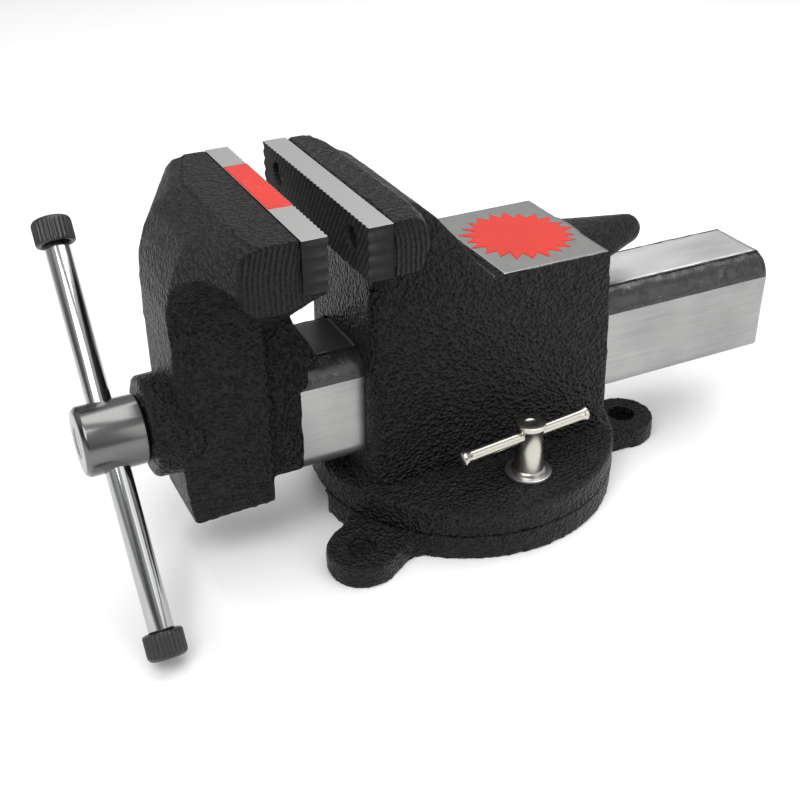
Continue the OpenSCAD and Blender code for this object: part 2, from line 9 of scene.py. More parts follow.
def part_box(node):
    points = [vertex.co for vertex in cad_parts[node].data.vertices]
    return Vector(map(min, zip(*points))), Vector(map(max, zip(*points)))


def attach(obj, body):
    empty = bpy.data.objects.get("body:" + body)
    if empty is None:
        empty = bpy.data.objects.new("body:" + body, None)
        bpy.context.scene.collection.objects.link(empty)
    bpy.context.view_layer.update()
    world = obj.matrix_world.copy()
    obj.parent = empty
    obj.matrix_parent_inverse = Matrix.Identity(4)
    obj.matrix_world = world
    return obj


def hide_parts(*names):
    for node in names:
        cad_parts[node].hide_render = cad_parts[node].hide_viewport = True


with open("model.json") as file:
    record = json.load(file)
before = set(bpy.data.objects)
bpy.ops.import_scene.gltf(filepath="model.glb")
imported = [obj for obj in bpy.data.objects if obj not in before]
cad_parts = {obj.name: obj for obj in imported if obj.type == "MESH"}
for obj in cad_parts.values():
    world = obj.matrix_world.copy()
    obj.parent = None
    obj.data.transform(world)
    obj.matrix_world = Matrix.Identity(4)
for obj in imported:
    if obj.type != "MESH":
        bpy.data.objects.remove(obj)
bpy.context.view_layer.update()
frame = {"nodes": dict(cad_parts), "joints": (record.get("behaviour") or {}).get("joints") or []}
NODES = frame["nodes"]
JOINTS = {joint["name"]: joint for joint in frame["joints"]}
MM = 0.001

# Sizes that the boxes of the nodes give, in metres
PLATE_LO, PLATE_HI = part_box("rear_jaw_plate")
FRONT_LO, FRONT_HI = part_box("front_jaw_plate")
SCREW_LO, SCREW_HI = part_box("rear_jaw_screws")
SPINDLE_LO, SPINDLE_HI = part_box("spindle")
JAW_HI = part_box("front_jaw")[1]
BODY_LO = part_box("rear_body")[0]
BASE_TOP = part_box("swivel_base")[1][2]
WASHER_LO, WASHER_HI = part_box("lock_washer_right")
NUT_LO, NUT_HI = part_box("lock_nut_right")
STAR_LO, STAR_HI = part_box("anvil_label")
STRIP_LO, STRIP_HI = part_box("jaw_label")
JAW_TOP = PLATE_HI[2]
HALF_JAW = PLATE_HI[0]
ANVIL_TOP = STAR_LO[2] - 0.02 * MM
SPINDLE_Z = JOINTS["spindle_turn"]["pos_m"][2]
HANDLE_AXIS = Vector(JOINTS["handle_slide"]["axis"])

# Sizes of the castings that no box gives
HALF_BAR = 33.5 * MM
BAR_BOTTOM = 58.3 * MM
BAR_TOP = 126.8 * MM
BAR_CORNER = 16 * MM
BAR_WALL = 9.5 * MM
BAR_ROOF = 12 * MM
NECK_END = -128.3 * MM
CHANNEL_START = -120.3 * MM
HUB_R = 21 * MM
HUB_END = SPINDLE_LO[1]
BOSS_Y = -213.85 * MM
HANDLE_Y = (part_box("handle_bar")[0][1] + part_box("handle_bar")[1][1]) / 2
HANDLE_R = 7.5 * MM
BASE_R = 103 * MM
THROAT = -86.3 * MM

# The jaw plates: slanted saw teeth and two screw recesses
TOOTH_PITCH = 3.9 * MM
TOOTH_SLANT = (0.83, 0.56)
TOOTH_RISE = 0.3
TOOTH_DEPTH = 0.95 * MM
RECESS_R = 7.1 * MM
RECESS_DEPTH = 3.05 * MM

# The star on the anvil
STAR_POINTS = 22
STAR_OUTER = 38 * MM
STAR_INNER = 29 * MM


# ---------------------------------------------------------------- materials

class Graph:
    """A node tree, with short calls for the nodes used here."""

    def __init__(self, tree, coordinates):
        self.tree = tree
        self.place = self.add("ShaderNodeTexCoord").outputs[coordinates]
        split = self.add("ShaderNodeSeparateXYZ", Vector=self.place)
        self.x, self.y, self.z = split.outputs

    def add(self, kind, **inputs):
        node = self.tree.nodes.new(kind)
        for key, value in inputs.items():
            self.feed(node.inputs[key.replace("_", " ")], value)
        return node

    def feed(self, socket, value):
        if isinstance(value, bpy.types.NodeSocket):
            self.tree.links.new(value, socket)
        else:
            socket.default_value = value

    def math(self, operation, a, b=0.0, clamp=False):
        node = self.tree.nodes.new("ShaderNodeMath")
        node.operation = operation
        node.use_clamp = clamp
        self.feed(node.inputs[0], a)
        self.feed(node.inputs[1], b)
        return node.outputs[0]

    def noise(self, scale, detail=3.0, rough=0.55, vector=None):
        node = self.add("ShaderNodeTexNoise", Vector=vector or self.place)
        node.inputs["Scale"].default_value = scale
        node.inputs["Detail"].default_value = detail
        node.inputs["Roughness"].default_value = rough
        return node.outputs["Fac"]

    def cells(self, scale, vector=None):
        node = self.add("ShaderNodeTexVoronoi", Vector=vector or self.place)
        node.inputs["Scale"].default_value = scale
        return node.outputs["Distance"]

    def stretched(self, x, y, z):
        node = self.add("ShaderNodeMapping", Vector=self.place)
        node.inputs["Scale"].default_value = (x, y, z)
        return node.outputs[0]

    def span(self, value, low, high, out_low=0.0, out_high=1.0):
        node = self.tree.nodes.new("ShaderNodeMapRange")
        node.inputs["From Min"].default_value = low
        node.inputs["From Max"].default_value = high
        node.inputs["To Min"].default_value = out_low
        node.inputs["To Max"].default_value = out_high
        self.feed(node.inputs["Value"], value)
        return node.outputs["Result"]

    def mix(self, factor, a, b, way="MIX"):
        node = self.tree.nodes.new("ShaderNodeMix")
        node.data_type = "RGBA"
        node.blend_type = way
        self.feed(node.inputs["Factor"], factor)
        self.feed(node.inputs[6], a)
        self.feed(node.inputs[7], b)
        return node.outputs[2]

    def blend(self, factor, a, b):
        node = self.tree.nodes.new("ShaderNodeMix")
        self.feed(node.inputs["Factor"], factor)
        self.feed(node.inputs[2], a)
        self.feed(node.inputs[3], b)
        return node.outputs[0]

    def bump(self, height, distance, strength=1.0, normal=None):
        node = self.add("ShaderNodeBump", Height=height)
        node.inputs["Strength"].default_value = strength
        node.inputs["Distance"].default_value = distance
        if normal is not None:
            self.tree.links.new(normal, node.inputs["Normal"])
        return node.outputs[0]

    def normal_part(self, axis):
        """The share of the object-space normal along an axis."""
        turn = self.tree.nodes.new("ShaderNodeVectorTransform")
        turn.vector_type = "NORMAL"
        turn.convert_from = "WORLD"
        turn.convert_to = "OBJECT"
        face = self.add("ShaderNodeNewGeometry").outputs["True Normal"]
        self.tree.links.new(face, turn.inputs[0])
        split = self.add("ShaderNodeSeparateXYZ", Vector=turn.outputs[0])
        return split.outputs["XYZ".index(axis)]


class Material(Graph):
    """A material's node tree."""

    def __init__(self, name):
        self.mat = bpy.data.materials.new(name)
        self.mat.use_nodes = True
        self.bsdf = self.mat.node_tree.nodes["Principled BSDF"]
        super().__init__(self.mat.node_tree, "Object")

    def finish(self, **inputs):
        for key, value in inputs.items():
            self.feed(self.bsdf.inputs[key.replace("_", " ")], value)
        return self.mat


def grey(value, tint=(1.0, 1.0, 1.0)):
    return (value * tint[0], value * tint[1], value * tint[2], 1.0)


def paint_layers(g):
    """Colour, roughness and height of the crinkled black paint, with painted top light: faces that
    turn upwards are made paler.
    """
    fine = g.noise(560, 3, 0.6)
    crinkle = g.cells(400)
    coarse = g.noise(190, 2, 0.5)
    height = g.math("ADD", g.math("MULTIPLY", fine, 0.8), g.math("MULTIPLY", crinkle, 1.5))
    height = g.math("ADD", height, g.math("MULTIPLY", coarse, 1.3))
    fleck = g.span(g.noise(900, 2, 0.7), 0.62, 0.72)
    colour = g.mix(g.span(crinkle, 0.1, 0.6), grey(0.002), grey(0.011, (1.0, 1.05, 1.02)))
    colour = g.mix(g.math("MULTIPLY", fleck, 0.3), colour, grey(0.04))
    # Painted top light: faces that turn upwards get a paler colour, standing in for the light that
    # falls on them from above.
    lightening = g.span(g.normal_part("Z"), 0.1, 0.9, 0.0, 0.7)
    colour = g.mix(lightening, colour, grey(0.022, (1.0, 1.04, 1.02)))
    rough = g.span(fine, 0.3, 0.7, 0.27, 0.48)
    return colour, rough, height


def cast_material(name, ends=None, ground=None, strip=None):
    """Black cast paint.
    ends: (y, z) centre of the grinding arcs on the end faces of the jaws.
    ground: height of a face ground to bare steel.
    strip: height of a jaw top with faint diagonal marks."""
    g = Material(name)
    colour, rough, height = paint_layers(g)
    metal = 0.0
    if ends:
        side = g.span(g.math("ABSOLUTE", g.x), HALF_JAW - 1.6 * MM, HALF_JAW - 0.7 * MM)
        side = g.math("MULTIPLY", side, g.math("GREATER_THAN", g.z, PLATE_LO[2] - 12 * MM))
        across = g.math("SUBTRACT", g.y, ends[0])
        up = g.math("SUBTRACT", g.z, ends[1])
        reach = g.math("SQRT", g.math("ADD", g.math("MULTIPLY", across, across),
                                      g.math("MULTIPLY", up, up)))
        wander = g.math("MULTIPLY", g.noise(70, 2, 0.5), 2.2 * MM)
        wave = g.math("SINE", g.math("MULTIPLY", g.math("ADD", reach, wander),
                                     2 * math.pi / (2.9 * MM)))
        height = g.math("MULTIPLY", height, g.span(side, 0.0, 1.0, 1.0, 0.45))
        height = g.math("ADD", height, g.math("MULTIPLY", g.math("MULTIPLY", wave, side), 0.6))
        colour = g.mix(g.math("MULTIPLY", side, g.span(wave, -0.2, 1.0, 0.0, 0.4)),
                       colour, grey(0.035))
    if strip:
        top = g.span(g.z, strip - 0.5 * MM, strip - 0.1 * MM)
        slant = g.math("ADD", g.x, g.math("MULTIPLY", g.y, 1.1))
        mark = g.math("SINE", g.math("MULTIPLY", slant, 2 * math.pi / (11 * MM)))
        mark = g.math("MULTIPLY", g.span(mark, 0.2, 1.0), top)
        mark = g.math("MULTIPLY", mark, g.span(g.noise(120, 2, 0.6), 0.4, 0.6))
        colour = g.mix(g.math("MULTIPLY", mark, 0.4), colour, grey(0.07))
    normal = g.bump(height, 3.0 * MM, 1.0)
    if ground:
        bare = g.math("MULTIPLY", g.span(g.z, ground - 0.45 * MM, ground - 0.15 * MM),
                      g.span(g.normal_part("Z"), 0.8, 0.95))
        bare = g.math("MULTIPLY", bare, g.math("LESS_THAN", g.z, ground + 1 * MM))
        lines = g.noise(60, 3, 0.7, g.stretched(1.0, 14.0, 1.0))
        steel = g.mix(lines, grey(0.27), grey(0.38, (1.0, 0.99, 0.97)))
        colour = g.mix(bare, colour, steel)
        rough = g.blend(bare, rough, g.span(lines, 0.2, 0.8, 0.3, 0.46))
        metal = g.math("MULTIPLY", bare, 0.9)
        smooth = g.bump(lines, 0.05 * MM, 0.5)
        vector = g.tree.nodes.new("ShaderNodeMix")
        vector.data_type = "VECTOR"
        g.feed(vector.inputs["Factor"], bare)
        g.feed(vector.inputs[4], normal)
        g.feed(vector.inputs[5], smooth)
        normal = vector.outputs[1]
    return g.finish(Base_Color=colour, Roughness=rough, Metallic=metal, Normal=normal,
                    Specular_IOR_Level=0.2)


def steel_material(name, tone, rough, grain=(1.0, 1.0, 1.0), tint=(1, 1, 1), spread=0.08,
                   bump=0.03):
    """Bare or plated steel; grain gives how the machining lines are stretched."""
    g = Material(name)
    lines = g.noise(220, 4, 0.65, g.stretched(*grain))
    cloud = g.noise(26, 3, 0.5)
    low, high = grey(tone * 0.82, tint), grey(min(1.0, tone * 1.1), tint)
    colour = g.mix(g.math("MULTIPLY", g.math("ADD", lines, cloud), 0.5), low, high)
    roughness = g.span(lines, 0.25, 0.75, max(0.02, rough - spread), rough + spread)
    return g.finish(Base_Color=colour, Metallic=1.0, Roughness=roughness,
                    Normal=g.bump(lines, bump * MM, 0.6))


def bar_material():
    """The slide bar: machined flats, with the cast corner left dark between them. Painted light
    makes the top flats pale and the side flats darker, and painted shade blackens the top between
    the jaws.
    """
    g = Material("slide_bar_steel")
    band = g.add("ShaderNodeAttribute")
    band.attribute_name = "cast"
    edge = g.math("ADD", band.outputs["Fac"], g.span(g.noise(70, 4, 0.7), 0.0, 1.0, -0.22, 0.22))
    cast = g.span(edge, 0.42, 0.58)
    lines = g.noise(55, 4, 0.7, g.stretched(1.0, 0.25, 9.0))
    cloud = g.noise(14, 3, 0.55)
    # Painted light: the same machined steel is made pale on faces that turn upwards and darker on
    # the side flats, for how the light falls on them.
    level = g.span(g.normal_part("Z"), 0.6, 0.95)
    tone = g.math("MULTIPLY", g.math("ADD", lines, g.span(cloud, 0.25, 0.75)), 0.5)
    flat = g.mix(level, g.mix(tone, grey(0.15), grey(0.48, (1.0, 1.0, 0.985))),
                 g.mix(tone, grey(0.7), grey(0.98)))
    # Painted shade: in front of the throat, between the jaws, the top flat is made near black and
    # less metallic, for the shade in the gap between the jaws; it also stands for a top left
    # unmachined there.
    behind = g.span(g.y, THROAT - 1 * MM, THROAT + 1 * MM, 1.0, 0.0)
    flat = g.mix(g.math("MULTIPLY", g.math("MULTIPLY", behind, level), 0.95), flat, grey(0.02))
    lump = g.noise(110, 4, 0.6)
    dark = g.mix(lump, grey(0.01), grey(0.04))
    # Lighter worn specks on the dark cast band.
    lightening = g.span(g.noise(150, 3, 0.6), 0.62, 0.74)
    dark = g.mix(g.math("MULTIPLY", lightening, 0.4), dark, grey(0.3))
    colour = g.mix(cast, flat, dark)
    rough = g.blend(cast, g.span(lines, 0.2, 0.8, 0.26, 0.42), g.span(lump, 0.3, 0.7, 0.16, 0.34))
    metal = g.blend(cast, g.span(g.math("MULTIPLY", behind, level), 0.0, 1.0, 1.0, 0.3),
                    g.math("MULTIPLY", lightening, 0.8))
    height = g.blend(cast, g.math("MULTIPLY", lines, 0.08), g.math("MULTIPLY", lump, 1.0))
    return g.finish(Base_Color=colour, Roughness=rough, Metallic=metal,
                    Normal=g.bump(height, 0.9 * MM, 0.75))


def plate_material():
    """Jaw plate: black oxide with a ground bright top."""
    g = Material("jaw_plate_steel")
    top = g.span(g.z, JAW_TOP - 0.35 * MM, JAW_TOP - 0.12 * MM)
    lines = g.noise(70, 4, 0.7, g.stretched(14.0, 1.0, 1.0))
    bright = g.mix(lines, grey(0.5), grey(0.66, (1.0, 1.0, 0.98)))
    scale = g.noise(240, 4, 0.6)
    black = g.mix(scale, grey(0.004), grey(0.016))
    tooth = g.add("ShaderNodeAttribute")
    tooth.attribute_name = "crest"
    crest = g.math("MULTIPLY", tooth.outputs["Fac"], g.span(scale, 0.35, 0.65, 0.2, 0.55))
    black = g.mix(crest, black, grey(0.075))
    colour = g.mix(top, black, bright)
    rough = g.blend(top, g.span(scale, 0.3, 0.7, 0.5, 0.7), 0.34)
    return g.finish(Base_Color=colour, Roughness=rough, Metallic=g.blend(top, 0.0, 0.95),
                    Specular_IOR_Level=g.blend(top, 0.15, 0.5),
                    Normal=g.bump(g.blend(top, scale, g.math("MULTIPLY", lines, 0.2)),
                                  0.25 * MM, 0.7))


def cap_material():
    g = Material("cap_black")
    fine = g.noise(500, 3, 0.6)
    colour = g.mix(g.noise(60, 3, 0.5), grey(0.008), grey(0.024))
    return g.finish(Base_Color=colour, Roughness=g.span(fine, 0.3, 0.7, 0.3, 0.5),
                    Normal=g.bump(fine, 0.12 * MM, 0.5))


def label_material():
    """Red printed film, with a little wear."""
    g = Material("label_red")
    wear = g.span(g.noise(140, 4, 0.7), 0.62, 0.72)
    tone = g.noise(38, 3, 0.5)
    colour = g.mix(tone, (0.5, 0.012, 0.004, 1), (0.62, 0.022, 0.008, 1))
    colour = g.mix(g.math("MULTIPLY", wear, 0.35), colour, (0.6, 0.2, 0.16, 1))
    return g.finish(Base_Color=colour, Roughness=g.span(tone, 0.3, 0.7, 0.3, 0.45),
                    Normal=g.bump(g.noise(260, 2, 0.5), 0.05 * MM, 0.4))


def floor_material():
    g = Material("pale_floor")
    colour = g.mix(g.noise(2.5, 2, 0.5), grey(0.93), grey(0.95))
    return g.finish(Base_Color=colour, Roughness=g.span(g.noise(40, 2, 0.5), 0, 1, 0.75, 0.85))


# ---------------------------------------------------------------- meshes

def piece(name, mesh, material, slot, body, *replaced):
    """Links a mesh as an object that rides on a body and stands for nodes."""
    obj = bpy.data.objects.new(name, mesh)
    bpy.context.scene.collection.objects.link(obj)
    if material:
        mesh.materials.clear()
        mesh.materials.append(material)
    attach(obj, body)
    if replaced:
        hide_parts(*replaced)
    return obj


def baked(obj):
    """Applies an object's modifiers into a mesh of its own."""
    depsgraph = bpy.context.evaluated_depsgraph_get()
    depsgraph.update()
    return bpy.data.meshes.new_from_object(obj.evaluated_get(depsgraph))


def scratch(mesh):
    """A passing object that carries a mesh while modifiers work on it."""
    obj = bpy.data.objects.new("scratch", mesh)
    bpy.context.scene.collection.objects.link(obj)
    return obj


def closed(bm, name):
    """Turns the faces outwards and makes a mesh of the edit mesh."""
    bmesh.ops.recalc_face_normals(bm, faces=bm.faces[:])
    mesh = bpy.data.meshes.new(name)
    bm.to_mesh(mesh)
    bm.free()
    return mesh


def cut_out(mesh, shape, weld=False):
    """The mesh without the space that a closed shape takes up."""
    tool = scratch(shape)
    obj = scratch(mesh)
    if weld:
        obj.modifiers.new("weld", "WELD").merge_threshold = 1e-6
    cut = obj.modifiers.new("cut", "BOOLEAN")
    cut.operation = "DIFFERENCE"
    cut.solver = "EXACT"
    cut.object = tool
    result = baked(obj)
    bpy.data.objects.remove(obj)
    bpy.data.objects.remove(tool)
    return result


def shade(mesh, angle=35):
    """Smooth shading, with edges sharper than the angle kept crisp."""
    mesh.polygons.foreach_set("use_smooth", [True] * len(mesh.polygons))
    bm = bmesh.new()
    bm.from_mesh(mesh)
    for edge in bm.edges:
        edge.smooth = len(edge.link_faces) != 2 or edge.calc_face_angle(0) < math.radians(angle)
    bm.to_mesh(mesh)
    bm.free()
    return mesh


def kept_before(mesh, plane_y, top):
    """A closed mesh without what lies behind a y plane and below a height."""
    bm = bmesh.new()
    bmesh.ops.create_cube(bm, size=1.0)
    for vert in bm.verts:
        vert.co = Vector((vert.co.x, vert.co.y + 0.5 + plane_y, vert.co.z - 0.5 + top))
    return cut_out(mesh, closed(bm, "block"), weld=True)


def cast_mesh(node, voxel, rounds, keep=None, lumps=0.35 * MM, seed=0.0, flats=(), corner=None):
    """A casting made from a node's mesh: its edges are rounded and its faces are lumpy.
    keep: a y plane and a height; what lies behind and below them goes.
    flats: (axis, value, half band) planes that stay flat.
    corner: (radius, height, way) of a round rim whose sharp corner is kept."""
    mesh = NODES[node].data.copy()
    if keep is not None:
        mesh = kept_before(mesh, *keep)
    obj = scratch(mesh)
    remesh = obj.modifiers.new("remesh", "REMESH")
    remesh.mode = "VOXEL"
    remesh.voxel_size = voxel
    smooth = obj.modifiers.new("smooth", "SMOOTH")
    smooth.factor = 0.5
    smooth.iterations = rounds
    result = baked(obj)
    bpy.data.objects.remove(obj)
    normals = [v.normal.copy() for v in result.vertices]
    for vert, normal in zip(result.vertices, normals):
        held = False
        if corner:
            rim, level, way = corner
            reach = math.hypot(vert.co.x, vert.co.y)
            near = reach > rim - 3 * MM and (level - vert.co.z) * way < 3 * MM
            if near and (level - vert.co.z) * way > -0.5 * MM and reach < rim + 0.5 * MM:
                if rim - reach < (level - vert.co.z) * way:
                    vert.co.x *= rim / reach
                    vert.co.y *= rim / reach
                else:
                    vert.co.z = level
                held = True
        for axis, value, band in flats:
            if abs(vert.co[axis] - value) < band and abs(normal[axis]) > 0.9:
                vert.co[axis] = value
                held = True
        if not held:
            place = vert.co + Vector((seed, seed, seed))
            push = noise.noise(place * 70) * 0.6 + noise.noise(place * 150) * 0.4
            vert.co += normal * (lumps * (push - 0.7))
    result.polygons.foreach_set("use_smooth", [True] * len(result.polygons))
    return result


def lathe(profile, steps=64, axis=(0, 0, 1), origin=(0, 0, 0), ribs=None):
    """Turns a profile of (radius, height) around an axis.
    ribs: (number, depth, start, end, least radius) of flutes cut between two heights."""
    bm = bmesh.new()
    rings = []
    for radius, height in profile:
        ring = []
        for i in range(steps):
            angle = 2 * math.pi * i / steps
            r = radius
            if ribs:
                number, depth, start, end, least = ribs
                if start <= height <= end and radius > least:
                    r -= depth * (0.5 - 0.5 * math.cos(angle * number)) ** 1.5
            ring.append(bm.verts.new((r * math.cos(angle), r * math.sin(angle), height)))
        rings.append(ring)
    for low, high in zip(rings, rings[1:]):
        for i in range(steps):
            j = (i + 1) % steps
            bm.faces.new((low[i], low[j], high[j], high[i]))
    if profile[0][0] > 0 and profile[0] != profile[-1]:
        bm.faces.new(list(reversed(rings[0])))
        bm.faces.new(rings[-1])
    if profile[0] == profile[-1]:
        bmesh.ops.remove_doubles(bm, verts=bm.verts[:], dist=1e-7)
    turn = Vector((0, 0, 1)).rotation_difference(Vector(axis)).to_matrix().to_4x4()
    bmesh.ops.transform(bm, matrix=Matrix.Translation(origin) @ turn, verts=bm.verts[:])
    return closed(bm, "turned")


def drilled(mesh, radius, axis, origin, length):
    """Cuts a round hole right through a mesh."""
    return cut_out(mesh, lathe([(radius, -length / 2), (radius, length / 2)], 48, axis, origin))


def rounded(profile, size):
    """Puts a small chamfer on each corner of a (radius, height) profile."""
    out = [profile[0]]
    for before, here, after in zip(profile, profile[1:], profile[2:]):
        back = Vector(before) - Vector(here)
        on = Vector(after) - Vector(here)
        cut = min(size, back.length * 0.4, on.length * 0.4)
        a = Vector(here) + back.normalized() * cut
        b = Vector(here) + on.normalized() * cut
        middle = (a + b + Vector(here)) / 3
        out += [tuple(a), tuple(middle), tuple(b)]
    out.append(profile[-1])
    return out


# ---------------------------------------------------------------- castings

PAINT_BODY = cast_material("paint_body", ends=(-150 * MM, 206 * MM), ground=ANVIL_TOP,
                           strip=JAW_TOP)
PAINT_JAW = cast_material("paint_jaw", ends=(-78 * MM, 200 * MM))
PAINT_BASE = cast_material("paint_base")
CHROME = steel_material("polished_chrome", 0.46, 0.12, (1, 1, 1), (0.97, 0.985, 1.0), 0.04, 0.008)
HUB_STEEL = steel_material("turned_hub", 0.16, 0.2, (1, 14, 1), (1, 0.995, 0.98), 0.06, 0.015)
ZINC = steel_material("bright_zinc", 0.66, 0.3, (1, 1, 1), (0.98, 0.99, 1.0), 0.04, 0.002)
NICKEL = steel_material("satin_nickel", 0.56, 0.22, (1, 1, 1), (1.0, 0.955, 0.86), 0.03, 0.002)
BLACK_STEEL = steel_material("black_oxide", 0.13, 0.42, (1, 1, 1), (1, 1, 1), 0.1, 0.06)
BAR_STEEL = bar_material()
PLATE_STEEL = plate_material()
CAP = cap_material()
RED = label_material()


def castings():
    """The three cast bodies."""
    detail = 1.0
    body = cast_mesh("rear_body", 1.9 * MM * detail, 2, seed=0.3,
                     flats=[(2, ANVIL_TOP, 0.5 * MM), (2, JAW_TOP, 0.5 * MM)],
                     corner=(BASE_R, BODY_LO[2], -1))
    piece("rear_casting", body, PAINT_BODY, "casting", "rear_body", "rear_body")
    jaw = cast_mesh("front_jaw", 1.4 * MM * detail, 3, seed=1.7,
                    keep=(CHANNEL_START - 0.4 * MM, BAR_TOP - 1.2 * MM),
                    flats=[(2, JAW_TOP, 0.5 * MM)])
    piece("front_casting", jaw, PAINT_JAW, "casting", "front_jaw", "front_jaw")
    base = cast_mesh("swivel_base", 1.6 * MM * detail, 3, seed=2.9, lumps=0.45 * MM,
                     corner=(BASE_R, BASE_TOP, 1))
    piece("base_casting", base, PAINT_BASE, "casting", "base", "swivel_base")


# The share of cast skin inside the channel, just under that of the outer corners
HOLLOW = 0.95


def bar_outline():
    """The channel section of the slide bar as (x, z, cast) points, clockwise from below."""
    inner = HALF_BAR - BAR_WALL
    roof = BAR_TOP - BAR_ROOF
    side = [(HALF_BAR, BAR_BOTTOM + 1.2 * MM)]
    side += [(HALF_BAR, BAR_BOTTOM + 1.2 * MM + k * 6 * MM) for k in range(1, 8)]
    side.append((HALF_BAR, BAR_TOP - BAR_CORNER - 0.6 * MM))
    right = [(HALF_BAR - 1.2 * MM, BAR_BOTTOM, 0.0)] + [(x, z, 0.0) for x, z in side]
    turns = 14
    for k in range(turns + 1):
        angle = math.pi / 2 * k / turns
        share = 1.0 if 0.04 < k / turns < 0.86 else 0.0
        right.append((HALF_BAR - BAR_CORNER + BAR_CORNER * math.cos(angle),
                      BAR_TOP - BAR_CORNER + BAR_CORNER * math.sin(angle), share))
    right += [(x, BAR_TOP, 0.0) for x in (12 * MM, 6 * MM, 0.0)]
    left = [(-x, z, c) for x, z, c in reversed(right[:-1])]
    hollow = [(-inner, BAR_BOTTOM), (-inner, roof - 5 * MM), (-inner + 5 * MM, roof)]
    hollow += [(-x, z) for x, z in reversed(hollow)]
    return right + left + [(x, z, HOLLOW) for x, z in hollow]


def slide_bar():
    """The machined channel bar: bright flats, and a rough cast band on each upper corner."""
    outline = bar_outline()
    start, end = NECK_END - 6 * MM, JAW_HI[1]
    rings = 150
    bm = bmesh.new()
    layer = bm.verts.layers.float.new("cast")
    last = None
    first = None
    for i in range(rings + 1):
        y = start + (end - start) * i / rings
        ring = []
        for x, z, cast in outline:
            spot = Vector((x, y, z))
            lump = 0.0
            if cast > HOLLOW:
                lump = 0.55 + noise.noise(spot * 110) * 0.9 + noise.noise(spot * 260) * 0.5
                lump = max(0.0, lump) * 0.55 * MM
            away = Vector((x, 0, z - BAR_BOTTOM - 30 * MM)).normalized()
            inset = 1.2 * MM if i in (0, rings) else 0.0
            vert = bm.verts.new(spot - away * lump - away * inset)
            vert[layer] = cast
            ring.append(vert)
        if last:
            for k in range(len(ring)):
                j = (k + 1) % len(ring)
                bm.faces.new((last[k], last[j], ring[j], ring[k]))
        else:
            first = ring
        last = ring
    for ring, flip in ((first, False), (last, True)):
        caps = [bm.verts.new(v.co.copy()) for v in (list(reversed(ring)) if flip else ring)]
        for vert in caps:
            vert[layer] = 0.9
        bm.faces.new(caps)
    # The solid part of the bar in front of the channel
    inner = HALF_BAR - BAR_WALL
    block = bmesh.ops.create_cube(bm, size=1.0)["verts"]
    size = Vector((2 * inner + 4 * MM, CHANNEL_START - NECK_END + 4 * MM,
                   BAR_TOP - BAR_ROOF - BAR_BOTTOM + 2 * MM))
    middle = Vector((0, (CHANNEL_START + NECK_END) / 2 - 2 * MM,
                     BAR_BOTTOM + 0.6 * MM + size.z / 2))
    for vert in block:
        vert.co = Vector(a * b for a, b in zip(vert.co, size)) + middle
        vert[layer] = 1.0
    piece("slide_bar", shade(closed(bm, "slide_bar"), 50), BAR_STEEL, "jaw_plate", "front_jaw")


# ---------------------------------------------------------------- jaw plates

def jaw_plate(name, low, high, facing, body):
    """A plate whose clamping face has slanted saw teeth and two screw recesses.
    facing: -1 if it clamps towards -Y, 1 if towards +Y."""
    step = 0.55 * MM
    face_y = low[1] if facing < 0 else high[1]
    back_y = high[1] if facing < 0 else low[1]
    columns = round((high[0] - low[0]) / step)
    rows = round((high[2] - low[2]) / step)
    screw_x = SCREW_HI[0] - 7 * MM
    screw_z = (SCREW_LO[2] + SCREW_HI[2]) / 2
    bm = bmesh.new()
    crest = bm.verts.layers.float.new("crest")
    grid = []
    for j in range(rows + 1):
        line = []
        for i in range(columns + 1):
            x = low[0] + (high[0] - low[0]) * i / columns
            z = low[2] + (high[2] - low[2]) * j / rows
            out = min(math.hypot(x - s * screw_x, z - screw_z) for s in (-1, 1))
            for s in (-1, 1):
                off = Vector((x - s * screw_x, z - screw_z))
                if 0 < abs(off.length - RECESS_R) < step * 0.55:
                    inside = off.length < RECESS_R
                    on = off.normalized() * (RECESS_R - 0.02 * MM if inside else RECESS_R)
                    x, z = s * screw_x + on.x, screw_z + on.y
                    out = off.length
            slant = (x * TOOTH_SLANT[0] + z * facing * TOOTH_SLANT[1]) / TOOTH_PITCH
            saw = slant - math.floor(slant)
            tooth = saw / TOOTH_RISE if saw < TOOTH_RISE else (1 - saw) / (1 - TOOTH_RISE)
            rough = 0.12 * MM * noise.noise(Vector((x, 0, z)) * 500)
            depth = max(0.0, TOOTH_DEPTH * (1 - tooth) + rough)
            if out < RECESS_R:
                depth = RECESS_DEPTH
            vert = bm.verts.new((x, face_y - facing * depth, z))
            vert[crest] = tooth if out >= RECESS_R else 0.0
            line.append(vert)
        grid.append(line)
    for below, above in zip(grid, grid[1:]):
        for i in range(columns):
            bm.faces.new((below[i], below[i + 1], above[i + 1], above[i]))
    rim = grid[0] + [line[-1] for line in grid[1:]] + list(reversed(grid[-1][:-1]))
    rim += [line[0] for line in reversed(grid[1:-1])]
    back = []
    for vert in rim:
        x = min(max(vert.co.x, low[0]), high[0])
        back.append(bm.verts.new((x, back_y, vert.co.z)))
    for i in range(len(rim)):
        j = (i + 1) % len(rim)
        bm.faces.new((rim[i], rim[j], back[j], back[i]))
    bm.faces.new(back)
    piece(name, shade(closed(bm, name), 30), PLATE_STEEL, "jaw_plate", body,
          name.replace("_detail", ""))


# ---------------------------------------------------------------- spindle and handle

